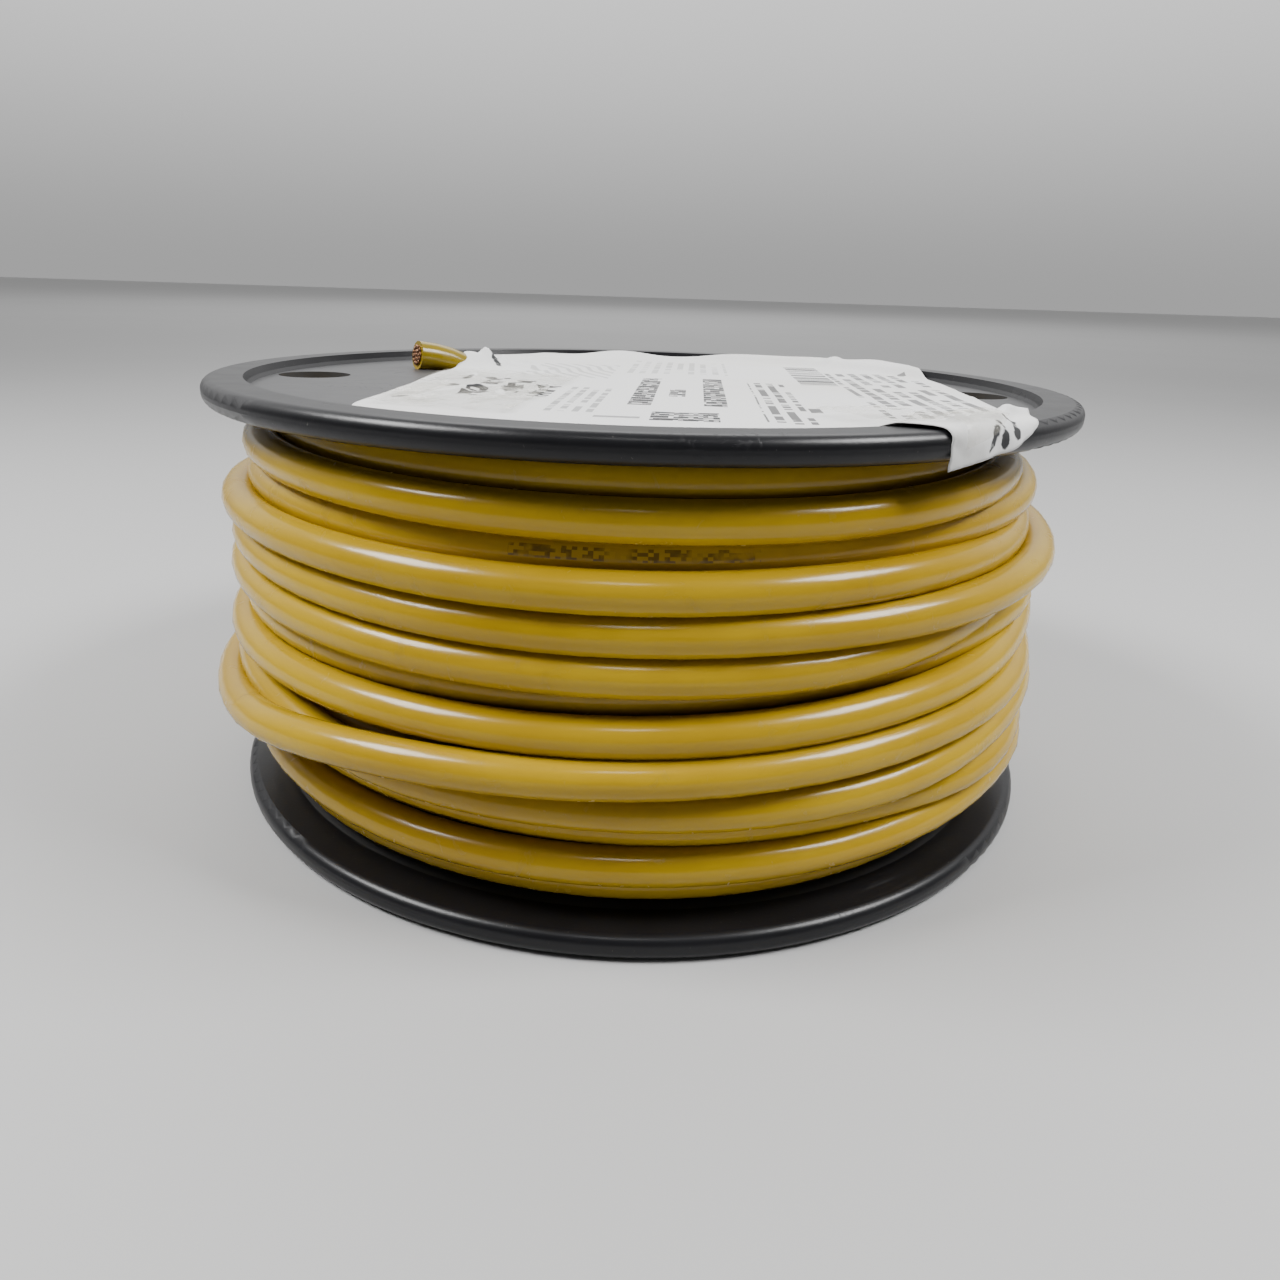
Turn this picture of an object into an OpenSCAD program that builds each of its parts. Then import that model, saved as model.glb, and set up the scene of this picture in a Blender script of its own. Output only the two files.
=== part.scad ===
// Wire spool: a moulded plastic reel full of yellow insulated cable, standing on
// its lower flange. The spool's axis is Z, the origin is at the middle of the
// lower flange's underside, and -Y is the front.

/* [Spool] */
// Outer diameter of each flange
flange_d = 165.1; // [160:0.1:175]
// Overall height, from rim face to rim face
spool_h = 78.4; // [78:0.1:82]
// Height of a flange's rim
rim_h = 4.2; // [4:0.1:5]
// Width of the rim, from the recess to the outer edge
rim_w = 7; // [6:0.5:7.5]
// Thickness of the web inside the rim
web_t = 2.2; // [2:0.1:2.4]
// Rounding of the rim's outer edges
rim_round = 1.8; // [0.8:0.1:2]

/* [Barrel] */
// Outer diameter of the barrel that carries the cable
barrel_d = 63.5; // [60:0.5:66]
// Wall thickness of the barrel
barrel_wall = 2.5; // [2:0.1:2.8]
// Bore of the arbor tube, for a rod of 15.9 mm
arbor_d = 16.5; // [16.2:0.1:16.8]
// Wall thickness of the arbor tube
arbor_wall = 2.2; // [2:0.1:2.5]

/* [Flange holes] */
// Diameter of the round drive holes in the web
drive_hole_d = 14; // [12:0.5:14]
// Number of drive holes in each flange
drive_holes = 2; // [2]
// Distance of the drive holes from the axis
drive_hole_r = 67; // [65:0.5:67.5]
// Length of the slot that the cable's outer end comes up through
tie_slot_len = 23; // [22.5:0.5:24]
// Width of that slot
tie_slot_w = 9; // [8.5:0.5:10]

/* [Cable] */
// Outer diameter of the cable
cable_d = 6.3; // [6.2:0.1:6.3]
// Diameter of the stranded conductor
conductor_d = 4.6; // [4:0.1:4.8]
// Length of bare conductor past the jacket at each cut end
conductor_bare = 0.5; // [0.4:0.1:0.8]

/* [Label and tape] */
// Thickness of the paper label
label_t = 0.25; // [0.2:0.05:0.3]
// Thickness of the clear tape
tape_t = 0.1; // [0.1:0.05:0.15]
// How far the label's folded corner hangs below the top of the rim
flap_drop = 6; // [4:0.5:7]

/* [Hidden] */

$fn = 96;
eps = 0.01;
flange_r = flange_d / 2;
barrel_r = barrel_d / 2;
barrel_in_r = barrel_r - barrel_wall;
arbor_r = arbor_d / 2;
arbor_out_r = arbor_r + arbor_wall;
cable_r = cable_d / 2;
recess = rim_h - web_t;
rim_in_r = flange_r - rim_w;
top_z = spool_h - recess;
inner_low_z = rim_h;
inner_high_z = spool_h - rim_h;

// Play between pieces that slide over each other at assembly
play = 0.05;
// Draft of the rim's inner wall, as the width it gains over the recess
draft = 0.7;
// The ring that centres the barrel, and the collar round the arbor tube
spigot_t = 2.4;
spigot_h = 2.6;
collar_t = 2.5;
collar_h = 6;

// The tie slot's middle, the direction in which the cable passes it, and its heading
tie_slot = [-40, 28];
tie_heading = 215;

// The winding's outer shape: its radius at a height
winding_outline = [[barrel_r, inner_low_z], [70, inner_low_z], [76, 12], [80, 22],
                   [81, 36], [80, 50], [77, 62], [73, 73.4], [66, 73.4], [66, 67.2],
                   [barrel_r, 67.2]];

// The slot in the barrel's wall that lets the cable's inner end in
start_slot_angle = -40;
start_slot_z = 9.7;
start_slot_len = 40;
start_slot_w = 9;

// The cable's inner end: an arc from the barrel's wall into its hollow
start_route = [[12.4, -25.8, 10.7], [5.7, -25.8, 10.9], [-0.8, -24.1, 11],
               [-6.7, -20.8, 11], [-10.4, -17.4, 11]];

// The cable's outer end: from the winding's top, under the upper flange, up
// through the tie slot and out over the web
end_route = [[40, 48, 70.4], [31.5, 53.5, 70.4], [21.5, 56.8, 70.4], [11, 57.4, 70.4],
             [1, 55, 70.4], [-8.5, 50.4, 70.4], [-18, 43.6, 70.5], [-28.2, 36.3, 70.7],
             [-31.8, 33.7, 71.1], [-35.1, 31.4, 72.1], [-37.5, 29.7, 73.4],
             [-40, 28, 75.2], [-42.5, 26.3, 76.9], [-44.9, 24.6, 78.1],
             [-47.6, 22.7, 78.9], [-50.6, 20.6, 79.4]];

// The label's outline as seen from above
label_outline = [[-40, -60], [-20, -71], [0, -74], [20, -72.5], [34, -67], [41, -73.5],
                 [58, -62], [59, -50], [63, -24], [65.5, 0], [66.5, 25], [66, 50.5],
                 [44, 66], [24, 72], [-22, 71.5], [-41, 61], [-42, 20]];
// Where the folded corner hangs down the rim: its first and last angle
flap_from = -60;
flap_to = -48;
label_gap = 0.08;

// The tapes' outlines as seen from above
corner_tape_outline = [[26, -47], [39, -39], [60, -60], [44, -72]];
end_tape_outline = [[-45, -48], [-20, -55], [-13, 8], [-44, 15]];

// ---- cable sweep ----

cable_sides = 12;
ring_step = 14;

function unit(v) = v / norm(v);

// A point of a smooth curve through the route, between points i and i + 1
function along(route, i, t) =
    let (n = len(route) - 1,
         a = i > 0 ? route[i - 1] : 2 * route[0] - route[1],
         b = route[i],
         c = route[i + 1],
         d = i + 2 <= n ? route[i + 2] : 2 * route[n] - route[n - 1])
    0.5 * (2 * b + (c - a) * t + (2 * a - 5 * b + 4 * c - d) * t * t
           + (3 * b - a - 3 * c + d) * t * t * t);

// How many rings the stretch after point i needs
function steps(route, i) = max(1, ceil(norm(route[i + 1] - route[i]) / ring_step));

function smooth(route) =
    [for (i = [0 : len(route) - 2]) for (k = [0 : steps(route, i) - 1])
         along(route, i, k / steps(route, i)),
     route[len(route) - 1]];

function heading(p, i) =
    i == 0 ? unit(p[1] - p[0])
    : i == len(p) - 1 ? unit(p[i] - p[i - 1])
    : unit(p[i + 1] - p[i - 1]);

// A ring of the tube: its sides stay level, because no route stands upright
function ring(at, dir) =
    let (side = unit(cross([0, 0, 1], dir)), up = cross(dir, side))
    [for (k = [0 : cable_sides - 1])
         let (a = 360 * (k + 0.5) / cable_sides)
         at + cable_r * (cos(a) * side + sin(a) * up)];

module tube(route) {
    p = smooth(route);
    rings = len(p);
    points = [for (i = [0 : rings - 1]) each ring(p[i], heading(p, i))];
    sides = [for (i = [0 : rings - 2]) for (k = [0 : cable_sides - 1])
                 let (n = (k + 1) % cable_sides, a = i * cable_sides, b = a + cable_sides)
                 each [[a + k, b + k, b + n], [a + k, b + n, a + n]]];
    first = [for (k = [0 : cable_sides - 1]) k];
    last = [for (k = [cable_sides - 1 : -1 : 0]) (rings - 1) * cable_sides + k];
    polyhedron(points = points, faces = concat([last], sides, [first]));
}

// The bare conductor, standing on the cut face at the end of a route
module bare_conductor(route) {
    p = smooth(route);
    n = len(p) - 1;
    dir = heading(p, n);
    translate(p[n])
        rotate([0, acos(dir.z), atan2(dir.y, dir.x)])
            cylinder(d = conductor_d, h = conductor_bare, $fn = 48);
}

// ---- spool ----

// Half of the rim's section, with rounded outer corners
module rim_section() {
    corner = flange_r - rim_round;
    polygon([[rim_in_r - draft, recess], [rim_in_r, 0], [corner, 0], [corner, rim_h],
             [rim_in_r - draft, rim_h]]);
    translate([corner - eps, rim_round])
        square([rim_round + eps, rim_h - 2 * rim_round]);
    for (z = [rim_round, rim_h - rim_round])
        intersection() {
            translate([corner, z])
                circle(r = rim_round, $fn = 64);
            translate([corner - eps, 0])
                square([rim_round + 2 * eps, rim_h]);
        }
}

module obround(length, width) {
    square([length - width, width], center = true);
    for (side = [-1, 1])
        translate([side * (length - width) / 2, 0])
            circle(d = width);
}

// A flange as it lies at the bottom, with its recess below and its spigot above
module flange(slot_side) {
    difference() {
        rotate_extrude($fn = 180) {
            rim_section();
            translate([arbor_out_r + play, recess])
                square([rim_in_r - arbor_out_r - play, web_t]);
            translate([barrel_in_r - play - spigot_t, rim_h - eps])
                square([spigot_t, spigot_h + eps]);
            translate([arbor_out_r + play, rim_h - eps])
                square([collar_t, collar_h + eps]);
        }
        for (k = [0 : drive_holes - 1])
            rotate(k * 360 / drive_holes)
                translate([drive_hole_r, 0, -eps])
                    cylinder(d = drive_hole_d, h = rim_h + 1);
        translate([tie_slot.x, slot_side * tie_slot.y, -eps])
            rotate(slot_side * tie_heading)
                linear_extrude(rim_h + 1)
                    obround(tie_slot_len, tie_slot_w);
    }
}

module lower_flange() {
    color([0.075, 0.075, 0.085])
        flange(1);
}

module upper_flange() {
    color([0.075, 0.075, 0.085])
        translate([0, 0, spool_h])
            rotate([180, 0, 0])
                flange(-1);
}

module barrel() {
    color([0.1, 0.1, 0.11])
        difference() {
            translate([0, 0, inner_low_z])
                cylinder(r = barrel_r, h = inner_high_z - inner_low_z, $fn = 128);
            translate([0, 0, inner_low_z - 1])
                cylinder(r = barrel_in_r, h = spool_h, $fn = 128);
            rotate(start_slot_angle)
                translate([barrel_in_r - 6, 0, start_slot_z])
                    rotate([90, 0, 90])
                        linear_extrude(barrel_wall + 8)
                            obround(start_slot_len, start_slot_w);
        }
}

module arbor_tube() {
    color([0.13, 0.13, 0.14])
        translate([0, 0, recess])
            difference() {
                cylinder(r = arbor_out_r, h = top_z - recess);
                translate([0, 0, -1])
                    cylinder(r = arbor_r, h = spool_h);
            }
}

// ---- cable ----

module cable_winding() {
    color([0.78, 0.62, 0.12])
        rotate_extrude($fn = 180)
            polygon(winding_outline);
}

module cable_start() {
    color([0.78, 0.62, 0.12])
        tube(start_route);
}

module cable_end() {
    color([0.78, 0.62, 0.12])
        tube(end_route);
}

module start_conductor() {
    color([0.72, 0.42, 0.24])
        bare_conductor(start_route);
}

module end_conductor() {
    color([0.72, 0.42, 0.24])
        bare_conductor(end_route);
}

// ---- label and tape ----

// The upper flange's outer surface from its axis to below its rim, moved out by gap
function flange_surface(gap) =
    [[0, top_z + gap], [rim_in_r - draft - gap, top_z + gap], [rim_in_r - gap, spool_h + gap],
     [flange_r - 0.6, spool_h + gap], [flange_r + gap, spool_h - 0.6],
     [flange_r + gap, spool_h - flap_drop]];

function backwards(list) = [for (i = [len(list) - 1 : -1 : 0]) list[i]];

// A layer of thickness t that follows the upper flange's outer surface
module layer(gap, t) {
    rotate_extrude($fn = 180)
        polygon(concat(flange_surface(gap), backwards(flange_surface(gap + t))));
}

// The wedge between two angles, outside the rim
module wedge(from, to) {
    reach = 2 * flange_r;
    polygon([[0, 0], reach * [cos(from), sin(from)], reach * [cos(to), sin(to)]]);
}

// A sheet on the upper flange: what lies over outline, and a flap down the rim
module sheet_on_flange(outline, gap, t, from, to) {
    intersection() {
        layer(gap, t);
        union() {
            translate([0, 0, spool_h - flap_drop - 1])
                linear_extrude(flap_drop + 2)
                    intersection() {
                        wedge(from, to);
                        difference() {
                            circle(r = flange_r + 2, $fn = 180);
                            circle(r = flange_r - 3, $fn = 180);
                        }
                    }
            translate([0, 0, top_z - 0.5])
                linear_extrude(recess + 1.2)
                    intersection() {
                        polygon(outline);
                        circle(r = flange_r - 1, $fn = 180);
                    }
        }
    }
}

// The room that a sheet leaves for the cable's end and the slot under it
module cable_room() {
    translate([tie_slot.x, tie_slot.y, top_z - 1])
        rotate(tie_heading)
            linear_extrude(recess + 3)
                translate([5, 0])
                    obround(tie_slot_len + 4, tie_slot_w + 1);
}

module label() {
    color([0.86, 0.86, 0.85])
        difference() {
            sheet_on_flange(label_outline, label_gap, label_t, flap_from, flap_to);
            cable_room();
        }
}

module corner_tape() {
    color([0.9, 0.9, 0.84, 0.5])
        sheet_on_flange(corner_tape_outline, 2 * label_gap + label_t, tape_t,
                        flap_from + 1, flap_to + 1);
}

module end_tape() {
    color([0.9, 0.9, 0.84, 0.5])
        intersection() {
            layer(2 * label_gap + label_t, tape_t);
            translate([0, 0, top_z - 0.5])
                linear_extrude(recess)
                    polygon(end_tape_outline);
        }
}

upper_flange();
lower_flange();
barrel();
arbor_tube();
cable_winding();
cable_start();
cable_end();
start_conductor();
end_conductor();
label();
corner_tape();
end_tape();
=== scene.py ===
# Looks of the wire spool: the cable wound as one long curve, the label and tapes as
# thin sheets, and the moulded parts from the CAD with their own materials.
# Everything is in metres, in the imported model's frame; MM turns drawn millimetres
# into metres.
import math

import bmesh
import bpy
import numpy as np
from mathutils import Matrix, Vector


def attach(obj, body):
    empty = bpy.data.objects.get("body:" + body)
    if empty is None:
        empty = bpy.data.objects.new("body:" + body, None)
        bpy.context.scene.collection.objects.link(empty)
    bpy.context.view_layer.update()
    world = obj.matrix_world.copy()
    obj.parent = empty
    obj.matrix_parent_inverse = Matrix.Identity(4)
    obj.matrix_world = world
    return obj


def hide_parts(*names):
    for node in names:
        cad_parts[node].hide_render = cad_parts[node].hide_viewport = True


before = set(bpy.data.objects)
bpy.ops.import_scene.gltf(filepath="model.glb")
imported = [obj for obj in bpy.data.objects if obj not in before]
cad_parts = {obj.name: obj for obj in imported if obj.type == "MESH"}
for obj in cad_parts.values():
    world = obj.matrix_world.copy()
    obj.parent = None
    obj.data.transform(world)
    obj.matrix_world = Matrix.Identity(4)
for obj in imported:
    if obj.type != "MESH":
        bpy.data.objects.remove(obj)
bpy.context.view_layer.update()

scene = bpy.context.scene
MM = 0.001
rng = np.random.default_rng(7)

# ---------------------------------------------------------------- camera

CAMERA_AT = (0.0, -0.1960, 0.0947)
CAMERA_DOWN = math.radians(20.67)
CAMERA_ROLL = 0.032
CAMERA_LENS = 26.16
CAMERA_SHIFT = 0.004


def make_camera():
    data = bpy.data.cameras.new("camera")
    data.sensor_width = 36.0
    data.lens = CAMERA_LENS
    data.shift_x = CAMERA_SHIFT
    data.clip_start, data.clip_end = 0.01, 20.0
    cam = bpy.data.objects.new("camera", data)
    scene.collection.objects.link(cam)
    ahead = Vector((0, math.cos(CAMERA_DOWN), -math.sin(CAMERA_DOWN)))
    level_up = Vector((0, math.sin(CAMERA_DOWN), math.cos(CAMERA_DOWN)))
    across = Vector((1, 0, 0))
    right = math.cos(CAMERA_ROLL) * across + math.sin(CAMERA_ROLL) * level_up
    up = math.cos(CAMERA_ROLL) * level_up - math.sin(CAMERA_ROLL) * across
    turn = Matrix((right, up, -ahead)).transposed().to_4x4()
    cam.matrix_world = Matrix.Translation(CAMERA_AT) @ turn
    scene.camera = cam


make_camera()

# ---------------------------------------------------------------- the cable's line

CABLE_D = 6.3
FIRST_R = 34.9               # the innermost layer's centre line
LAYER = 5.45                 # from one layer's centre line to the next
LOW_Z, HIGH_Z = 7.35, 71.05  # a turn that touches the lower or the upper flange
STEP = 5.0                   # degrees between two points of the winding
ROUNDS = 150                 # of settling
REACH = 23                   # how many turns back a turn is held off from
PRESSED = 0.985              # of a diameter, between turns that touch
POINT_RADIUS = 0.001

# The outer layer, from its lowest turn up. Height at the left, left of the front,
# front, right of the front and right, then the radius at the same places.
OUTER_AT = (-66.0, -33.0, 0.0, 33.0, 66.0)
OUTER = [
    (15.5, 13.0, 13.1, 13.8, 15.5, 77.0, 76.8, 77.0, 76.3, 76.6),
    (22.5, 20.0, 18.4, 19.2, 21.5, 75.0, 74.5, 74.0, 74.0, 78.0),
    (29.0, 26.0, 23.4, 23.6, 27.5, 76.0, 77.0, 77.5, 78.0, 77.6),
    (24.0, 28.6, 30.1, 31.0, 33.8, 81.2, 81.0, 80.5, 79.0, 75.0),
    (34.5, 35.0, 35.6, 37.4, 39.8, 77.5, 78.3, 79.0, 78.5, 73.8),
    (40.5, 40.0, 40.2, 42.3, 44.6, 77.5, 75.5, 74.0, 73.5, 73.5),
    (46.5, 45.0, 44.5, 46.0, 48.8, 77.5, 78.3, 78.3, 77.6, 71.5),
    (52.5, 51.0, 50.4, 50.6, 52.0, 77.5, 78.3, 78.0, 77.2, 75.4),
    (58.3, 56.8, 56.3, 56.6, 58.4, 77.2, 78.4, 78.6, 77.2, 73.0),
    (63.5, 61.6, 60.6, 60.8, 62.8, 74.0, 74.5, 74.5, 74.0, 73.3),
    (67.4, 66.8, 65.8, 65.2, 66.8, 71.5, 75.0, 76.8, 76.0, 68.6),
    (71.05, 71.05, 71.0, 71.0, 71.0, 68.5, 72.5, 73.6, 73.0, 66.5),
]
# The few turns just under the outer layer, which fill its hollows
FILL = (33.0, 26.5, 8.5)

# The inner end, from its cut face inside the barrel, and the outer end, from under
# the upper flange through the tie slot to its cut face above the web
START_ROUTE = [(-10.4, -17.4, 11), (-6.7, -20.8, 11), (-0.8, -24.1, 11),
               (5.7, -25.8, 10.9), (12.4, -25.8, 10.7)]
END_ROUTE = [(40, 48, 70.4), (31.5, 53.5, 70.4), (21.5, 56.8, 70.4), (11, 57.4, 70.4),
             (1, 55, 70.4), (-8.5, 50.4, 70.4), (-18, 43.6, 70.5), (-28.2, 36.3, 70.7),
             (-31.8, 33.7, 71.1), (-35.1, 31.4, 72.1), (-37.5, 29.7, 73.4),
             (-40, 28, 75.2), (-42.5, 26.3, 76.9), (-44.9, 24.6, 78.1),
             (-47.6, 22.7, 78.9), (-50.6, 20.6, 79.4)]


def smooth(values, reach):
    """A moving average over reach points each side; the ends stay where they are."""
    weights = np.hanning(2 * reach + 3)[1:-1]
    before = 2 * values[0] - values[reach:0:-1]
    after = 2 * values[-1] - values[-2:-reach - 2:-1]
    padded = np.concatenate([before, values, after])
    return np.convolve(padded, weights / weights.sum(), mode="valid")


def layer_heights(layer):
    if layer == 7:
        return FILL
    odd = layer % 2
    low = LOW_Z + (CABLE_D / 2 if odd else 0)
    # the last full layer stops short of the upper flange, so the outer turns dip there
    heights = [low + CABLE_D * k for k in range(9 if odd or layer == 6 else 10)]
    return heights[::-1] if odd else heights


def drawn_winding():
    """Angle, radius and height along the winding as drawn, before it settles, and the
    angle at which the outer layer's first turn passes the front."""
    knots = []
    angle = 0.0
    for layer in range(8):
        for height in layer_heights(layer):
            knots.append((angle, FIRST_R + LAYER * layer, height))
            knots.append((angle + 300, FIRST_R + LAYER * layer, height))
            angle += 360
    front = knots[-1][0] + 330
    for k, turn in enumerate(OUTER):
        for at, height, radius in zip(OUTER_AT, turn[:5], turn[5:]):
            knots.append((front + 360 * k + at, radius, height))
    # the last turn draws in under the upper flange, towards the tie slot
    knots.append((front + 360 * (len(OUTER) - 1) + 140, 62.8, 70.4))
    at, radius, height = (np.array(v) for v in zip(*knots))
    grid = np.arange(at[0], at[-1] + STEP / 2, STEP)
    return grid, np.interp(grid, at, radius), np.interp(grid, at, height), front


def settle(grid, radius, height, front):
    """Pushes turns of the outer layer apart where they overlap at the same angle. The
    turns before it stay as drawn, and turns that cross can still press into each other."""
    turn = round(360 / STEP)
    n = len(grid)
    free = int(np.searchsorted(grid, front - 200))
    low = free - (REACH - 1) * turn
    drawn = radius.copy(), height.copy()
    for _ in range(ROUNDS):
        move = np.zeros((2, n))
        for apart in range(1, REACH + 1):
            i = np.arange(low, n - apart * turn)
            j = i + apart * turn
            across, up = radius[j] - radius[i], height[j] - height[i]
            gap = np.hypot(across, up) + 1e-6
            push = 0.5 * np.clip(CABLE_D * PRESSED - gap, 0, None) / gap
            share_i = np.where(i >= free, 0.5, 0.0)
            share_j = np.where(j >= free, np.where(i >= free, 0.5, 1.0), 0.0)
            for row, part in enumerate((across, up)):
                np.add.at(move[row], i, -push * part * share_i)
                np.add.at(move[row], j, push * part * share_j)
        for row, line in enumerate((radius, height)):
            line[free:] += move[row, free:]
            # a gentle pull back to the drawn line, then the cable's own stiffness
            line[free:] += 0.03 * (drawn[row][free:] - line[free:])
            line[free:] = 0.5 * line[free:] + 0.5 * smooth(line[free - 4:], 2)[4:]
        height[:] = np.clip(height, LOW_Z, HIGH_Z)
    return radius, height


def along(route, spacing):
    """Points at even spacing on a smooth curve through the route."""
    p = np.array(route, float)
    p = np.vstack([2 * p[0] - p[1], p, 2 * p[-1] - p[-2]])
    out = []
    for a, b, c, d in zip(p[:-3], p[1:-2], p[2:-1], p[3:]):
        count = max(1, round(float(np.linalg.norm(c - b)) / spacing))
        for t in np.arange(count) / count:
            out.append(0.5 * (2 * b + (c - a) * t + (2 * a - 5 * b + 4 * c - d) * t * t
                              + (3 * b - a - 3 * c + d) * t ** 3))
    out.append(p[-2])
    return np.array(out)


def cable_line():
    grid, radius, height, front = drawn_winding()
    radius, height = settle(grid, smooth(radius, 3), smooth(height, 3), front)
    wobble = rng.normal(0, 1, (2, len(grid)))
    radius = radius + 0.22 * smooth(wobble[0], 5)
    height = np.clip(height + 0.22 * smooth(wobble[1], 5), LOW_Z, HIGH_Z)
    turn = np.radians(grid)
    wound = np.stack([radius * np.cos(turn), radius * np.sin(turn), height], 1)
    # the inner end swings in from the barrel's slot to the first turn
    bend = [(8.9 + 26 * math.cos(math.radians(a)), 26 * math.sin(math.radians(a)), z)
            for a, z in ((-62, 10.0), (-42, 9.1), (-21, 8.2))]
    start = along(START_ROUTE + bend + [tuple(wound[0])], 3.0)[:-1]
    end = along([tuple(wound[-1])] + END_ROUTE[1:], 3.0)[1:]
    line = np.vstack([start, wound, end])
    joint = len(start) + len(wound)
    for first, last in ((len(start) - 5, len(start) + 6), (joint - 6, joint + 5)):
        for _ in range(6):
            line[first:last] = (line[first - 1:last - 1] + 2 * line[first:last]
                                + line[first + 1:last + 1]) / 4
    return line


def make_cable():
    line = cable_line()
    data = bpy.data.curves.new("cable", "CURVE")
    data.dimensions = "3D"
    # a curve's box counts its points' radius, so that is kept small
    data.bevel_depth = CABLE_D / 2 * MM / POINT_RADIUS
    data.bevel_resolution = 5
    data.use_fill_caps = True
    data.twist_mode = "Z_UP"
    spline = data.splines.new("POLY")
    spline.points.add(len(line) - 1)
    flat = np.hstack([line * MM, np.ones((len(line), 1))])
    spline.points.foreach_set("co", flat.ravel())
    spline.points.foreach_set("radius", np.full(len(line), POINT_RADIUS))
    spline.use_smooth = True
    cable = bpy.data.objects.new("cable", data)
    scene.collection.objects.link(cable)
    return cable, line


cable, cable_points = make_cable()


def mesh_object(name, verts, faces):
    mesh = bpy.data.meshes.new(name)
    mesh.from_pydata([tuple(v) for v in verts], [], [tuple(f) for f in faces])
    mesh.validate()
    mesh.polygons.foreach_set("use_smooth", [True] * len(mesh.polygons))
    mesh.update()
    obj = bpy.data.objects.new(name, mesh)
    scene.collection.objects.link(obj)
    return obj


# ---------------------------------------------------------------- bare wire ends

STRAND_D = 0.92
STRAND_SIDES = 12
STRAND_TWIST = 9     # degrees in each millimetre along the cable
BARE = 0.5           # how far the strands stand out of the jacket


def make_strands(name, tip, before):
    """Nineteen twisted strands that stand out of the cut face at tip."""
    tip, before = np.array(tip, float), np.array(before, float)
    axis = (tip - before) / np.linalg.norm(tip - before)
    side = np.cross((0, 0, 1), axis)
    side /= np.linalg.norm(side)
    up = np.cross(axis, side)
    places = [(0.0, 0.0)]
    places += [(STRAND_D, 60 * k) for k in range(6)]
    places += [(1.97 * STRAND_D, 30 * k + 8) for k in range(12)]
    verts, faces = [], []
    for reach, angle in places:
        bare = BARE + float(rng.uniform(-0.12, 0.0))
        # distance along the axis, and how full the strand is there
        rings = [(-3.0, 1.0), (-1.0, 1.0), (bare - 0.12, 1.0), (bare - 0.04, 0.93),
                 (bare, 0.75)]
        base = len(verts)
        for s, full in rings:
            a = math.radians(angle + STRAND_TWIST * s)
            middle = tip + axis * s + reach * (math.cos(a) * side + math.sin(a) * up)
            for k in range(STRAND_SIDES):
                b = 2 * math.pi * k / STRAND_SIDES
                rim = math.cos(b) * side + math.sin(b) * up
                verts.append((middle + STRAND_D / 2 * full * rim) * MM)
        for ring in range(len(rings) - 1):
            for k in range(STRAND_SIDES):
                a0 = base + ring * STRAND_SIDES + k
                a1 = base + ring * STRAND_SIDES + (k + 1) % STRAND_SIDES
                faces.append((a0, a1, a1 + STRAND_SIDES, a0 + STRAND_SIDES))
        faces.append([base + k for k in range(STRAND_SIDES)][::-1])
        last = base + (len(rings) - 1) * STRAND_SIDES
        faces.append([last + k for k in range(STRAND_SIDES)])
    return mesh_object(name, verts, faces)


start_strands = make_strands("start_strands", cable_points[0], cable_points[1])
end_strands = make_strands("end_strands", cable_points[-1], cable_points[-2])

for piece, nodes, slot in (
    (cable, ("cable_winding", "cable_start", "cable_end"), "cable_jacket"),
    (start_strands, ("start_conductor",), "copper_strand"),
    (end_strands, ("end_conductor",), "copper_strand"),
):
    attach(piece, "root")
    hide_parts(*nodes)

# ---------------------------------------------------------------- label and tapes

TOP_Z = 76.4      # the upper flange's web
RIM_Z = 78.4      # the top of its rim
WALL_R = 75.2     # the rim's inner wall
FLANGE_R = 82.55
UV_PER_MM = 0.01  # a sheet's flat coordinates, as they are stored
MM_PER_UV = 100


def lie(x, y, gap):
    """Where a limp sheet lies on the upper flange. Past the rim's edge the distance
    from the axis is what has been folded down the rim's outside."""
    rho = np.hypot(x, y) + 1e-9
    foot, ramp_wide = WALL_R - 3.2, 4.4
    ramp = np.clip((rho - foot) / ramp_wide, 0, 1)
    z = TOP_Z + (RIM_Z - TOP_Z) * ramp * ramp * (3 - 2 * ramp) + gap
    bend = 1.3
    edge = FLANGE_R - bend
    fold = bend + gap
    arc = np.clip((rho - edge) / fold, 0, math.pi / 2)
    down = np.clip(rho - edge - fold * math.pi / 2, 0, None)
    past = rho > edge
    r = np.where(past, edge + fold * np.sin(arc), rho)
    z = np.where(past, RIM_Z - bend + fold * np.cos(arc) - down, z)
    return x / rho * r, y / rho * r, z


def hill(x, y, at, height, wide, long, turn):
    """A ridge at a point, long at turn degrees from the x axis."""
    c, s = math.cos(math.radians(turn)), math.sin(math.radians(turn))
    a = ((x - at[0]) * c + (y - at[1]) * s) / long
    b = (-(x - at[0]) * s + (y - at[1]) * c) / wide
    return height * np.exp(-(a * a + b * b))


def value_noise(x, y, scale, seed):
    """Smooth noise from -1 to 1, with features about scale across."""
    table = np.random.default_rng(seed).uniform(-1, 1, (64, 64))
    u, v = x / scale + 31.3, y / scale + 17.7
    i, j = np.floor(u).astype(int), np.floor(v).astype(int)
    a, b = u - i, v - j
    a, b = a * a * (3 - 2 * a), b * b * (3 - 2 * b)
    pick = lambda p, q: table[p % 64, q % 64]
    return ((pick(i, j) * (1 - a) + pick(i + 1, j) * a) * (1 - b)
            + (pick(i, j + 1) * (1 - a) + pick(i + 1, j + 1) * a) * b)


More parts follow.
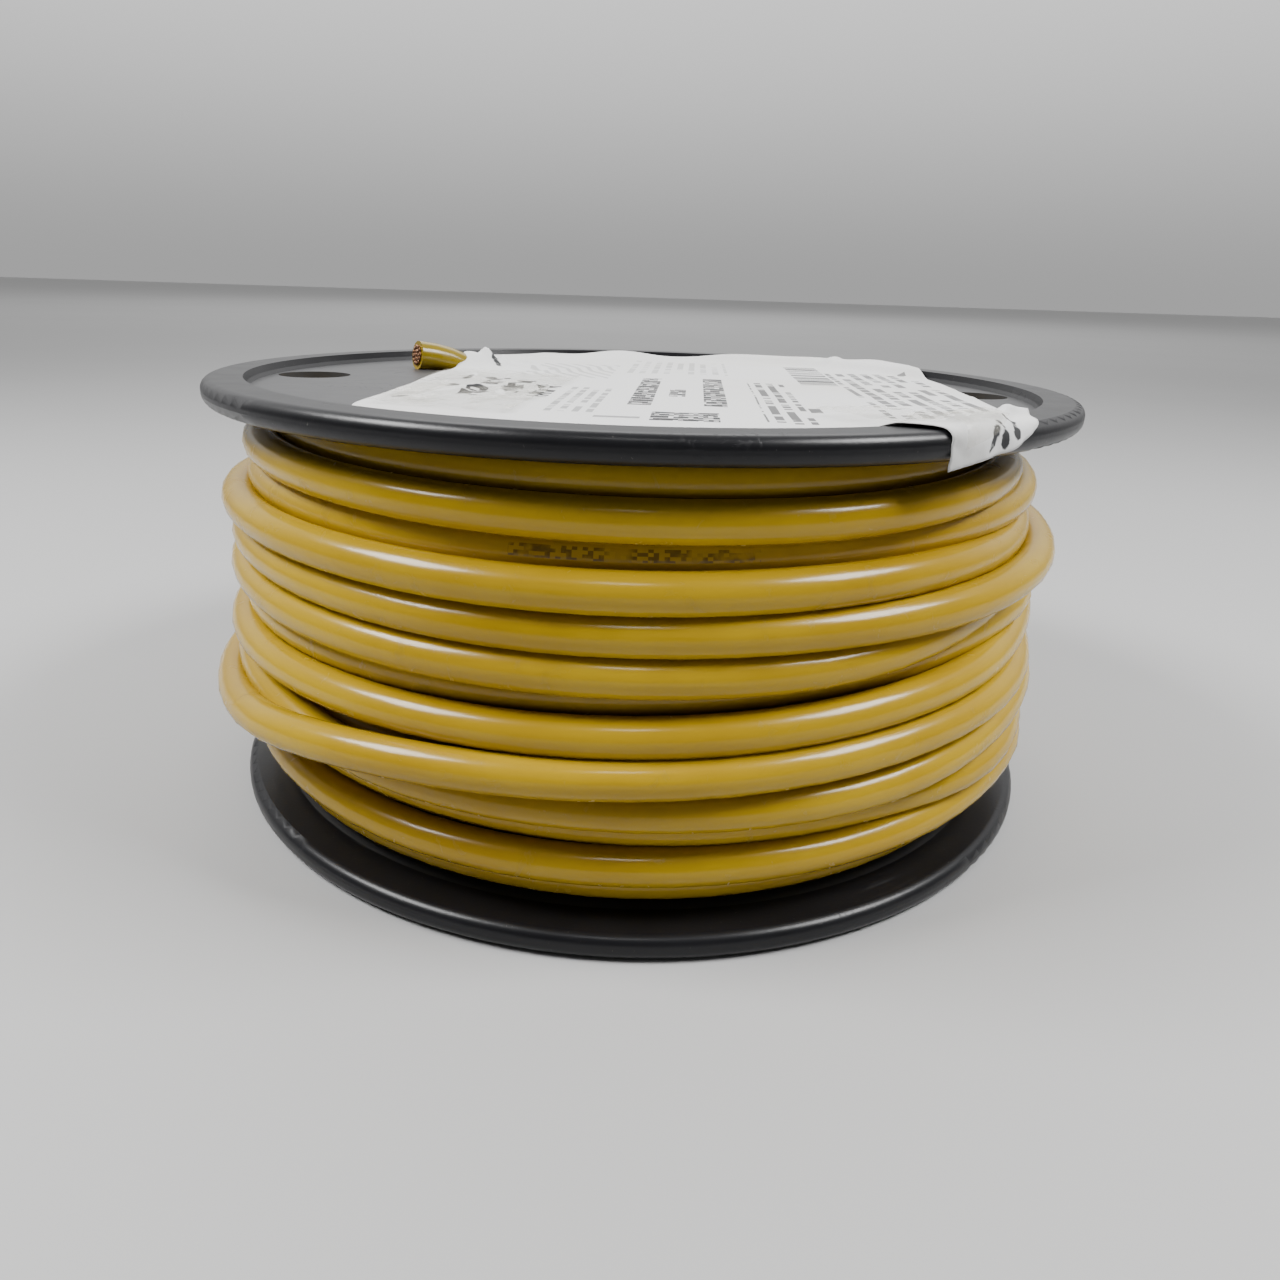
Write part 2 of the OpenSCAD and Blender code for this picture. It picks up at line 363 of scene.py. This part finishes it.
def patch(left, right, near, far, across, deep):
    """A grid of points inside four boundary lines, each given as a few points."""
    def spread(points, n):
        p = along(points, 0.5)
        s = np.concatenate([[0], np.cumsum(np.linalg.norm(np.diff(p, axis=0), axis=1))])
        t = np.linspace(0, s[-1], n)
        return np.stack([np.interp(t, s, p[:, k]) for k in (0, 1)], 1)
    lo, hi = spread(left, deep), spread(right, deep)
    bo, to = spread(near, across), spread(far, across)
    u = np.linspace(0, 1, across)[None, :, None]
    v = np.linspace(0, 1, deep)[:, None, None]
    sides = lo[:, None] * (1 - u) + hi[:, None] * u
    ends = bo[None] * (1 - v) + to[None] * v
    corners = ((1 - u) * (1 - v) * lo[0] + u * (1 - v) * hi[0]
               + (1 - u) * v * lo[-1] + u * v * hi[-1])
    return sides + ends - corners


def sheet_mesh(name, grid_xyz, flat_xy, thickness):
    deep, across = grid_xyz.shape[:2]
    verts = grid_xyz.reshape(-1, 3) * MM
    faces = [(j * across + i, j * across + i + 1, (j + 1) * across + i + 1,
              (j + 1) * across + i)
             for j in range(deep - 1) for i in range(across - 1)]
    obj = mesh_object(name, verts, faces)
    layer = obj.data.uv_layers.new(name="flat")
    flat = flat_xy.reshape(-1, 2)
    loops = np.empty(len(obj.data.loops), int)
    obj.data.loops.foreach_get("vertex_index", loops)
    layer.data.foreach_set("uv", (flat[loops] * UV_PER_MM).ravel())
    thick = obj.modifiers.new("thickness", "SOLIDIFY")
    thick.thickness = thickness * MM
    thick.offset = 1.0
    return obj


LABEL_GAP = 0.1
LABEL_T = 0.16
TAPE_T = 0.06
TAPE_BASE = LABEL_GAP + LABEL_T + 0.45

# Ridges in the label: place, height, width, length and direction in degrees
RIDGES = [
    # pushed up by the cable where it comes out of the tie slot
    ((-40.5, 28.5), 3.3, 4.4, 6.0, 35), ((-36.6, 30.5), 2.2, 1.0, 3.4, -48),
    ((-33.6, 33), 1.7, 0.9, 4.0, -60), ((-30, 38), 1.2, 1.6, 7.0, 70),
    ((-28, 27), 1.0, 1.1, 8.0, 150),
    # loose along the far edge, and crumpled at the far right corner
    ((-6, 72), 1.6, 3.5, 10, 0), ((60, 55), 0.8, 2.0, 7, 130),
    ((50, 60), 0.7, 1.3, 6, 60),
    # crumpled above the folded corner, and creased at the left end
    ((52.4, -57), 1.2, 1.1, 6, 62), ((56, -53), 0.9, 1.0, 5, 30),
    ((48.5, -59), 0.9, 1.0, 7, 115), ((52, -47), 0.7, 1.0, 6, 150),
    ((58, -44), 0.6, 1.1, 6, 80), ((45, -62), 0.6, 1.0, 6, 140),
    ((-30, -22), 0.9, 0.9, 8, 20), ((-22, -15), 0.7, 0.8, 7, 160),
    ((-34, -30), 0.8, 0.9, 7, 60), ((-25, -28), 0.6, 0.8, 6, 100),
    ((-18, 22), 0.5, 1.3, 12, 50), ((-12, 30), 0.4, 1.2, 11, 40),
    ((-35, 5), 0.5, 1.5, 9, 100),
]
# Holes under the label, as x, y and the radius that the paper sags over
SAGS = ((67, 0, 7.5), (0, 0, 8.7))


def make_label():
    left = [(-42, -60), (-44.8, -48), (-44.6, -34), (-44.2, -20), (-44, 0), (-43.2, 14),
            (-41.4, 28), (-41.2, 45), (-41, 61)]
    right = [(43.2, -76), (48.5, -71.1), (51.7, -68), (54.4, -64.2), (57, -59.2),
             (58, -52), (61, -38), (63.4, -20), (65.5, 0), (66.3, 25), (66, 50.5)]
    near = [(-42, -60), (-30, -66.5), (-20, -70.5), (0, -73), (20, -71), (30, -67.6),
            (36.5, -68.6), (40.8, -71.8), (43.2, -76)]
    far = [(-41, 61), (-32, 66.5), (-22, 70.5), (0, 73), (24, 72), (44, 66.5),
           (56, 59), (66, 50.5)]
    flat = patch(left, right, near, far, 180, 258)
    x, y = flat[..., 0], flat[..., 1]
    px, py, pz = lie(x, y, LABEL_GAP)
    rho = np.hypot(x, y)
    # paper never lies quite flat, and it sags a little over the holes
    lift = 0.16 + 0.16 * value_noise(x, y, 21, 1) + 0.07 * value_noise(x, y, 8, 2)
    for hole_x, hole_y, sag_r in SAGS:
        d = np.hypot(x - hole_x, y - hole_y)
        lift -= 0.16 * np.clip((sag_r - d) / 3, 0, 1)
    lift = np.clip(lift, 0, None)
    for ridge in RIDGES:
        lift += hill(x, y, *ridge)
    # no ridge carries on down the rim's outside
    pz = pz + lift * np.where(rho > 80, np.clip((84 - rho) / 4, 0, 1), 1)
    # the folded corner bellies out a little from the rim
    out = np.clip((rho - 82) / 2, 0, 1) * (0.35 + 0.5 * value_noise(x, y, 3.6, 5)
                                           + 0.25 * value_noise(x, y, 1.7, 6))
    px, py = px * (1 + out / 83), py * (1 + out / 83)
    return sheet_mesh("paper_label", np.stack([px, py, pz], -1), flat, LABEL_T)


label = make_label()


def make_tape(name, left, right, near, far, across, deep, base, wrinkle, seed):
    flat = patch(left, right, near, far, across, deep)
    x, y = flat[..., 0], flat[..., 1]
    px, py, pz = lie(x, y, base)
    rho = np.hypot(x, y)
    lift = wrinkle * (0.6 + 0.6 * value_noise(x, y, 5, seed)
                      + 0.5 * value_noise(x, y, 1.8, seed + 1))
    pz = pz + np.clip(lift, 0, None) * np.where(rho > 80, 0.3, 1)
    out = np.where(rho > 82.5, 0.5 + 0.4 * value_noise(x, y, 4, 5), 0)
    px, py = px * (1 + out / 83), py * (1 + out / 83)
    return sheet_mesh(name, np.stack([px, py, pz], -1), flat, TAPE_T)


def make_tapes():
    corner = make_tape(
        "clear_corner_tape",
        left=[(43.5, -75), (35.5, -61), (27, -47.5)],
        right=[(51, -63.5), (45.5, -51.5), (39, -40)],
        near=[(43.5, -75), (47.8, -69.8), (51, -63.5)],
        far=[(27, -47.5), (33, -43.5), (39, -40)],
        across=50, deep=90, base=TAPE_BASE + 0.9, wrinkle=0.35, seed=11)
    end = make_tape(
        "clear_end_tape",
        left=[(-43, -48), (-42.9, -16), (-42.5, 13)],
        right=[(-20, -55), (-17, -24), (-13, 8)],
        near=[(-43, -48), (-32, -51.5), (-20, -55)],
        far=[(-42.5, 13), (-29, 10.5), (-13, 8)],
        across=70, deep=150, base=TAPE_BASE, wrinkle=0.4, seed=21)
    return corner, end


corner_tape, end_tape = make_tapes()

for piece, node, slot in ((label, "label", "label_paper"),
                          (corner_tape, "corner_tape", "clear_tape"),
                          (end_tape, "end_tape", "clear_tape")):
    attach(piece, "root")
    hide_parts(node)

# ---------------------------------------------------------------- materials


class Nodes:
    """Short names for building a material's nodes."""

    def __init__(self, name):
        self.material = bpy.data.materials.new(name)
        self.material.use_nodes = True
        self.tree = self.material.node_tree
        self.shader = next(n for n in self.tree.nodes if n.type == "BSDF_PRINCIPLED")
        self.where = self.tree.nodes.new("ShaderNodeTexCoord")

    def put(self, socket, value):
        if isinstance(value, bpy.types.NodeSocket):
            self.tree.links.new(value, socket)
        else:
            socket.default_value = value

    def set(self, **values):
        for name, value in values.items():
            self.put(self.shader.inputs[name.replace("_", " ")], value)

    def math(self, what, a, b=0.0, clamp=False):
        node = self.tree.nodes.new("ShaderNodeMath")
        node.operation = what
        node.use_clamp = clamp
        self.put(node.inputs[0], a)
        self.put(node.inputs[1], b)
        return node.outputs[0]

    def times(self, first, *others):
        for other in others:
            first = self.math("MULTIPLY", first, other)
        return first

    def plus(self, a, b, clamp=False):
        return self.math("ADD", a, b, clamp)

    def above(self, value, limit):
        return self.math("GREATER_THAN", value, limit)

    def below(self, value, limit):
        return self.math("LESS_THAN", value, limit)

    def between(self, value, low, high):
        return self.times(self.above(value, low), self.below(value, high))

    def ramp(self, value, low, high, to_low=0.0, to_high=1.0):
        node = self.tree.nodes.new("ShaderNodeMapRange")
        node.interpolation_type = "SMOOTHSTEP"
        for socket, v in zip(node.inputs[:5], (value, low, high, to_low, to_high)):
            self.put(socket, v)
        return node.outputs[0]

    def mix(self, share, a, b):
        node = self.tree.nodes.new("ShaderNodeMix")
        node.data_type = "RGBA"
        self.put(node.inputs[0], share)
        for socket, v in ((node.inputs[6], a), (node.inputs[7], b)):
            self.put(socket, v if isinstance(v, bpy.types.NodeSocket) else (*v, 1.0))
        return node.outputs[2]

    def noise(self, at, scale, detail=3.0, rough=0.55, distortion=0.0):
        node = self.tree.nodes.new("ShaderNodeTexNoise")
        self.put(node.inputs["Vector"], at)
        node.inputs["Scale"].default_value = scale
        node.inputs["Detail"].default_value = detail
        node.inputs["Roughness"].default_value = rough
        node.inputs["Distortion"].default_value = distortion
        return node.outputs[0]

    def random(self, vector):
        node = self.tree.nodes.new("ShaderNodeTexWhiteNoise")
        node.noise_dimensions = "3D"
        self.put(node.inputs["Vector"], vector)
        return node.outputs[0]

    def join(self, x=0.0, y=0.0, z=0.0):
        node = self.tree.nodes.new("ShaderNodeCombineXYZ")
        for socket, v in zip(node.inputs, (x, y, z)):
            self.put(socket, v)
        return node.outputs[0]

    def parts(self, vector):
        node = self.tree.nodes.new("ShaderNodeSeparateXYZ")
        self.put(node.inputs[0], vector)
        return node.outputs[0], node.outputs[1], node.outputs[2]

    def bump(self, height, distance, strength=1.0, below=None):
        node = self.tree.nodes.new("ShaderNodeBump")
        node.inputs["Strength"].default_value = strength
        node.inputs["Distance"].default_value = distance
        self.put(node.inputs["Height"], height)
        if below is not None:
            self.put(node.inputs["Normal"], below)
        return node.outputs[0]

    def polar(self):
        """Object position as (radius, angle, height)."""
        x, y, z = self.parts(self.where.outputs["Object"])
        radius = self.math("SQRT", self.plus(self.times(x, x), self.times(y, y)))
        return radius, self.math("ARCTAN2", y, x), z


WEB_EDGE = 0.0751             # metres from the axis, where the rim begins


def moulded_plastic(name, dark, light, rough):
    """Black moulded plastic: satin, with handling scuffs and a little dust; nearer the axis
    than the rim it is painted lighter, partly dust and partly painted sheen.
    """
    n = Nodes(name)
    at = n.where.outputs["Object"]
    radius, angle, height = n.polar()
    mottle = n.noise(at, 90, 4)
    rings = n.noise(n.join(radius, n.times(angle, 0.004), height), 900, 3)
    scuff_place = n.ramp(n.noise(at, 60, 3), 0.5, 0.72)
    scuffs = n.times(n.ramp(rings, 0.55, 0.75), scuff_place)
    hairlines = n.ramp(n.noise(at, 420, 2, 0.5, 2.2), 0.60, 0.66)
    hairlines = n.times(hairlines, n.ramp(n.noise(at, 38, 2), 0.52, 0.7))
    dust = n.ramp(n.noise(at, 1900, 2, 0.6), 0.70, 0.78)
    colour = n.mix(mottle, dark, light)
    # everything nearer the axis than the rim, the web above all, is painted a lighter grey:
    # partly dust, partly a painted reflection standing in for the web's bright sheen at a
    # grazing view, and painted light in the shade under the winding
    web_dust_and_sheen = n.below(radius, WEB_EDGE)
    colour = n.mix(n.times(web_dust_and_sheen, 0.75), colour, (0.058, 0.058, 0.060))
    colour = n.mix(n.times(scuffs, 0.5), colour, (0.06, 0.06, 0.062))
    colour = n.mix(n.times(dust, 0.25), colour, (0.25, 0.24, 0.22))
    roughness = n.plus(rough, n.times(n.noise(at, 140, 3), 0.12))
    roughness = n.plus(roughness, n.times(web_dust_and_sheen, 0.06))
    roughness = n.plus(roughness, n.times(scuffs, 0.2))
    roughness = n.plus(roughness, n.times(hairlines, 0.12), clamp=True)
    skin = n.bump(n.noise(at, 1400, 3), 0.00003, 0.5)
    marks = n.bump(n.plus(n.times(rings, 0.6), hairlines), 0.00003, 0.35, skin)
    n.set(Base_Color=colour, Roughness=roughness, Normal=marks, IOR=1.5,
          Specular_IOR_Level=0.32)
    return n.material


FRONT = math.radians(-90)     # the angle round the axis that faces the camera
PRINT_FROM, PRINT_TO = FRONT - 0.23, FRONT + 0.22
PRINT_LOW, PRINT_HIGH = 0.0607, 0.0624
PRINT_R = 0.0755              # only the outermost turn there is printed


def jacket():
    """Glossy yellow cable insulation under a thin clear skin."""
    n = Nodes("yellow_jacket")
    at = n.where.outputs["Object"]
    radius, angle, height = n.polar()
    # streaks run along the cable, so they are long in angle and short across it
    cross = n.join(radius, n.times(angle, 0.006), height)
    streaks = n.noise(cross, 700, 3)
    bands = n.noise(cross, 160, 2)
    tone = n.noise(at, 26, 3)
    grime = n.ramp(n.noise(at, 210, 4, 0.65, 0.6), 0.56, 0.78)
    colour = n.mix(n.ramp(tone, 0.3, 0.7), (0.37, 0.225, 0.005), (0.45, 0.29, 0.008))
    colour = n.mix(n.times(n.ramp(bands, 0.35, 0.7), 0.35), colour,
                   (0.32, 0.185, 0.005))
    colour = n.mix(n.times(n.ramp(streaks, 0.5, 0.8), 0.25), colour,
                   (0.48, 0.33, 0.02))
    colour = n.mix(n.times(grime, 0.22), colour, (0.14, 0.08, 0.012))
    # a row of worn marks where the jacket is printed; none of them is a letter
    dash = n.random(n.join(n.math("FLOOR", n.times(angle, 105)),
                           n.math("FLOOR", n.times(height, 2000))))
    printed = n.times(n.between(angle, PRINT_FROM, PRINT_TO),
                      n.between(height, PRINT_LOW, PRINT_HIGH), n.above(radius, PRINT_R),
                      n.above(dash, 0.45),
                      n.ramp(n.noise(at, 330, 3), 0.35, 0.6, 0.1, 0.7))
    colour = n.mix(printed, colour, (0.05, 0.03, 0.012))
    # the outer end, above the upper rim's height, is painted darker
    darker_outer_end = n.ramp(height, 0.0755, 0.0785, 0.0, 0.8)
    colour = n.mix(darker_outer_end, colour, (0.16, 0.12, 0.004))
    roughness = n.plus(0.17, n.times(n.noise(cross, 420, 3), 0.12))
    roughness = n.plus(roughness, n.times(grime, 0.14))
    waves = n.bump(n.noise(cross, 230, 2), 0.00012, 0.5)
    skin = n.bump(n.noise(at, 1200, 3), 0.00002, 0.4, waves)
    n.set(Base_Color=colour, Roughness=roughness, Normal=skin, IOR=1.5,
          Specular_IOR_Level=0.27, Coat_Weight=0.14, Coat_Roughness=0.08, Coat_IOR=1.5)
    return n.material


def copper():
    n = Nodes("copper_strand_metal")
    at = n.where.outputs["Object"]
    dull = n.ramp(n.noise(at, 900, 3), 0.4, 0.7)
    # the copper is painted darker than bright copper: partly tarnish, partly painted shade
    # on the cut ends
    colour = n.mix(dull, (0.38, 0.19, 0.10), (0.15, 0.075, 0.04))
    n.set(Base_Color=colour, Metallic=1.0,
          Roughness=n.plus(0.28, n.times(dull, 0.3)),
          Normal=n.bump(n.noise(at, 3000, 2), 0.00002, 0.5))
    return n.material


LABEL_TILT = math.radians(3)  # the printing runs a little askew


def printed_and_shaded_marks(n):
    """How dark the marks make a place on the label, measured in millimetres on its flat
    sheet. Most marks stand for type and rules, and none can be read; two are painted shadow
    beside the folds by the tie slot, and three are dark marks among the folded corner's
    creases."""
    node = n.tree.nodes.new("ShaderNodeUVMap")
    node.uv_map = "flat"
    u, v, _ = n.parts(node.outputs[0])
    c, s = MM_PER_UV * math.cos(LABEL_TILT), MM_PER_UV * math.sin(LABEL_TILT)
    x = n.plus(n.times(u, c), n.times(v, -s))
    y = n.plus(n.times(u, s), n.times(v, c))

    def cell(value, size):
        return n.math("FLOOR", n.math("DIVIDE", value, size))

    def within(x0, x1, y0, y1):
        return n.times(n.between(x, x0, x1), n.between(y, y0, y1))

    def part(value, size):
        return n.math("FRACT", n.math("DIVIDE", value, size))

    def type_lines(box, pitch, letter, share, mark_darkness, seed):
        """Lines of small type along y: short bars in rows."""
        row = cell(x, pitch)
        stroke = n.random(n.join(row, cell(y, letter), seed))
        word = n.random(n.join(row, cell(y, letter * 6), seed + 5.0))
        height = n.between(part(x, pitch), 0.18, 0.18 + share)
        return n.times(within(*box), height, n.above(stroke, 0.28), n.above(word, 0.16),
                       mark_darkness)

    def big_type(box, letter, mark_darkness, seed, bare=0.16, grain_size=0.25):
        """One line of large type: each letter a cluster of strokes."""
        stroke = letter * grain_size
        grain = n.random(n.join(cell(x, stroke), cell(y, stroke), seed))
        gap = n.below(part(y, letter), 0.86)
        return n.times(within(*box), gap, n.above(grain, bare), mark_darkness)

    ragged = n.ramp(n.noise(n.where.outputs["Object"], 620, 2), 0.35, 0.7, -0.5, 0.7)

    def spot(cx, cy, long, wide, turn):
        """A soft-edged dark smudge, long across at turn degrees; most are ink, two are
        painted shadow beside folds.
        """
        cos, sin = math.cos(math.radians(turn)), math.sin(math.radians(turn))
        dx, dy = n.math("SUBTRACT", x, cx), n.math("SUBTRACT", y, cy)
        a = n.plus(n.times(dx, cos / long), n.times(dy, sin / long))
        b = n.math("SUBTRACT", n.times(dy, cos / wide), n.times(dx, sin / wide))
        far = n.plus(n.times(a, a), n.times(b, b))
        return n.ramp(n.plus(far, ragged), 0.6, 1.2, 0.96, 0.0)

    bars = n.above(n.random(n.join(cell(y, 0.42), 3.0, 0.0)), 0.45)
    slant = part(n.plus(x, n.times(y, 0.55)), 3.6)
    parts = [
        big_type((-0.6, 3.4, -38, 12), 3.6, 0.92, 1.0),
        big_type((12.2, 16.2, -36, 14), 3.6, 0.92, 2.0),
        big_type((5.9, 8.9, -23, -11), 3.0, 0.92, 3.0),
        big_type((4.0, 14.5, -57, -46), 3.0, 0.95, 4.0),
        n.times(within(-4.5, 2.5, -55.5, -53.5), 0.6),
        type_lines((21.5, 29.0, -56, 10), 2.5, 1.3, 0.55, 0.8, 7.0),
        n.times(within(29.5, 31.5, -41, -35), 0.8),
        type_lines((41.5, 62.0, -44, 42), 3.1, 1.1, 0.56, 0.72, 9.0),
        big_type((-30.6, -26.8, -34, -1), 4.6, 0.97, 12.0, 0.3, 0.36),
        big_type((-24.8, -21, -28, -3), 4.6, 0.97, 13.0, 0.3, 0.36),
        big_type((-18.6, -15, -32, -12), 4.6, 0.97, 15.0, 0.3, 0.36),
        spot(-38.6, -39.0, 2.0, 1.1, 80), spot(-35.0, -17.5, 3.6, 1.1, 100),
        spot(-35.6, -3.0, 3.0, 1.1, 85), spot(-27.3, -29.0, 2.2, 1.2, 60),
        spot(-28.4, -16.5, 3.2, 1.3, 120), spot(-30.6, -3.0, 3.4, 1.1, 100),
        spot(-22.8, -21.5, 2.6, 1.2, 50), spot(-23.0, -9.0, 4.0, 1.1, 95),
        spot(-17.8, -27.0, 2.4, 1.0, 120), spot(-17.6, -16.0, 3.4, 1.2, 70),
        # the three smudges near (52..55, -64..-60) are dark marks among the folded corner's
        # creases; the two at (-36, 27) and (-37.8, 31.5) are painted shadow beside the
        # folds that the cable pushes up by the tie slot
        spot(52.0, -64.5, 2.9, 0.75, 80), spot(54.8, -60.0, 3.4, 0.8, 109),
        spot(53.6, -63.8, 1.5, 0.8, 130), spot(-36, 27, 3.6, 0.8, 120),
        spot(-37.8, 31.5, 1.8, 0.6, 120),
        n.times(within(-27, -8, 8, 44), n.below(slant, 0.4), 0.3),
        type_lines((-13.5, -5.0, -50, -12), 2.2, 0.9, 0.5, 0.5, 14.0),
        n.times(within(33.0, 41.0, 8, 56), bars, 0.88),
        type_lines((-6.0, 18.0, 24, 62), 2.8, 1.4, 0.5, 0.3, 17.0),
    ]
    mark_darkness = parts[0]
    for more in parts[1:]:
        mark_darkness = n.math("MAXIMUM", mark_darkness, more)
    return mark_darkness


def paper():
    """Thermal label stock: smooth, faintly fibrous, printed, worn along the folds."""
    n = Nodes("printed_paper")
    at = n.where.outputs["Object"]
    mark_darkness = printed_and_shaded_marks(n)
    worn = n.ramp(n.noise(at, 320, 4), 0.15, 0.42)
    fibres = n.noise(at, 1500, 4)
    stain = n.ramp(n.noise(at, 34, 4), 0.42, 0.75)
    colour = n.mix(fibres, (0.64, 0.64, 0.635), (0.72, 0.72, 0.71))
    colour = n.mix(n.times(stain, 0.4), colour, (0.62, 0.60, 0.55))
    # the marks darken the paper: worn print, and painted shadow beside the folds by the tie
    # slot
    colour = n.mix(n.times(mark_darkness, worn), colour, (0.012, 0.012, 0.014))
    crinkle = n.noise(at, 260, 4, 0.6)
    n.set(Base_Color=colour,
          Roughness=n.plus(0.6, n.times(fibres, 0.16)),
          Normal=n.bump(fibres, 0.00002, 0.4, n.bump(crinkle, 0.00012, 0.45)),
          Specular_IOR_Level=0.2, IOR=1.45)
    return n.material


def tape_film():
    """Clear packing tape: a thin glossy film, a little yellow, cloudy where it is loose."""
    n = Nodes("clear_film")
    at = n.where.outputs["Object"]
    loose = n.ramp(n.noise(at, 150, 4, 0.6, 0.8), 0.45, 0.7)
    colour = n.mix(loose, (0.50, 0.47, 0.38), (0.80, 0.79, 0.72))
    n.set(Base_Color=colour, Roughness=n.plus(0.12, n.times(loose, 0.2)),
          Alpha=n.plus(0.07, n.times(loose, 0.24)),
          Normal=n.bump(n.noise(at, 420, 4, 0.6, 0.5), 0.0004, 0.9), IOR=1.49)
    return n.material


def dress(obj, material):
    slots = obj.material_slots
    if slots:
        for slot in slots:
            slot.material = material
    else:
        obj.data.materials.append(material)


black = moulded_plastic("black_flange_plastic", (0.004, 0.004, 0.005),
                        (0.009, 0.009, 0.011), 0.27)
dull_black = moulded_plastic("black_barrel_plastic", (0.014, 0.014, 0.016),
                             (0.026, 0.026, 0.028), 0.42)
grey_black = moulded_plastic("grey_arbor_plastic", (0.020, 0.020, 0.022),
                             (0.036, 0.036, 0.039), 0.38)
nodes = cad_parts
dress(nodes["upper_flange"], black)
dress(nodes["lower_flange"], black)
dress(nodes["barrel"], dull_black)
dress(nodes["arbor_tube"], grey_black)
dress(cable, jacket())
metal = copper()
dress(start_strands, metal)
dress(end_strands, metal)
dress(label, paper())
film = tape_film()
dress(corner_tape, film)
dress(end_tape, film)

# ---------------------------------------------------------------- floor and light


FLOOR_REACH = 12.0    # metres to each side
FLOOR_DROP = 0.0002   # so that the spool and the floor never share a plane


def make_floor():
    """A wide pale sheet, level under the spool."""
    mesh = bpy.data.meshes.new("floor")
    bm = bmesh.new()
    bmesh.ops.create_grid(bm, x_segments=2, y_segments=2, size=FLOOR_REACH)
    bm.to_mesh(mesh)
    bm.free()
    floor = bpy.data.objects.new("floor", mesh)
    floor.location = (0, 0, -FLOOR_DROP)
    scene.collection.objects.link(floor)
    n = Nodes("pale_floor")
    tone = n.noise(n.where.outputs["Object"], 3, 2)
    n.set(Base_Color=n.mix(tone, (0.40, 0.40, 0.40), (0.44, 0.44, 0.44)), Roughness=0.6,
          Specular_IOR_Level=0.2)
    dress(floor, n.material)


LOOK_AT = Vector((0, 0, 0.04))


def make_light(name, azimuth, elevation, distance, width, tall, power):
    """A soft box that looks at the spool; azimuth 0 is the front, 90 the right."""
    data = bpy.data.lights.new(name, "AREA")
    data.shape = "RECTANGLE"
    data.size, data.size_y = width, tall
    data.energy = power
    lamp = bpy.data.objects.new(name, data)
    a, e = math.radians(azimuth), math.radians(elevation)
    way = Vector((math.sin(a) * math.cos(e), -math.cos(a) * math.cos(e), math.sin(e)))
    lamp.location = LOOK_AT + way * distance
    lamp.rotation_mode = "QUATERNION"
    lamp.rotation_quaternion = (-way).to_track_quat("-Z", "Y")
    scene.collection.objects.link(lamp)


def make_backdrop_light():
    """Looks straight down on the floor behind the spool, so the backdrop stays pale."""
    data = bpy.data.lights.new("backdrop_light", "AREA")
    data.size = 2.6
    data.energy = 50
    lamp = bpy.data.objects.new("backdrop_light", data)
    lamp.location = (0, 3.0, 2.2)
    scene.collection.objects.link(lamp)


# The sky brightens towards the back and upwards: the axis, where on it the fade starts
# and ends, and how bright it is there. So it is as pale as the floor along the horizon.
SKY_FADES = ((1, (-0.2, 0.75, 0.14, 1.05)),
             (2, (0.0, 0.32, 0.40, 1.0)))


def make_world():
    world = bpy.data.worlds.new("studio")
    world.use_nodes = True
    tree = world.node_tree
    sky = tree.nodes["Background"]
    sky.inputs["Color"].default_value = (1.0, 1.0, 1.0, 1.0)
    where = tree.nodes.new("ShaderNodeTexCoord")
    split = tree.nodes.new("ShaderNodeSeparateXYZ")
    product = tree.nodes.new("ShaderNodeMath")
    product.operation = "MULTIPLY"
    tree.links.new(where.outputs["Generated"], split.inputs[0])
    for k, (axis, limits) in enumerate(SKY_FADES):
        fade = tree.nodes.new("ShaderNodeMapRange")
        fade.interpolation_type = "SMOOTHSTEP"
        for socket, value in zip(fade.inputs[1:5], limits):
            socket.default_value = value
        tree.links.new(split.outputs[axis], fade.inputs[0])
        tree.links.new(fade.outputs[0], product.inputs[k])
    tree.links.new(product.outputs[0], sky.inputs["Strength"])
    scene.world = world


make_floor()
make_world()
make_light("left_box", -78, 48, 0.8, 0.34, 0.24, 9)
make_light("right_box", 76, 48, 0.8, 0.34, 0.24, 9)
make_light("top_box", -4, 62, 0.9, 0.16, 0.12, 0.8)
make_backdrop_light()
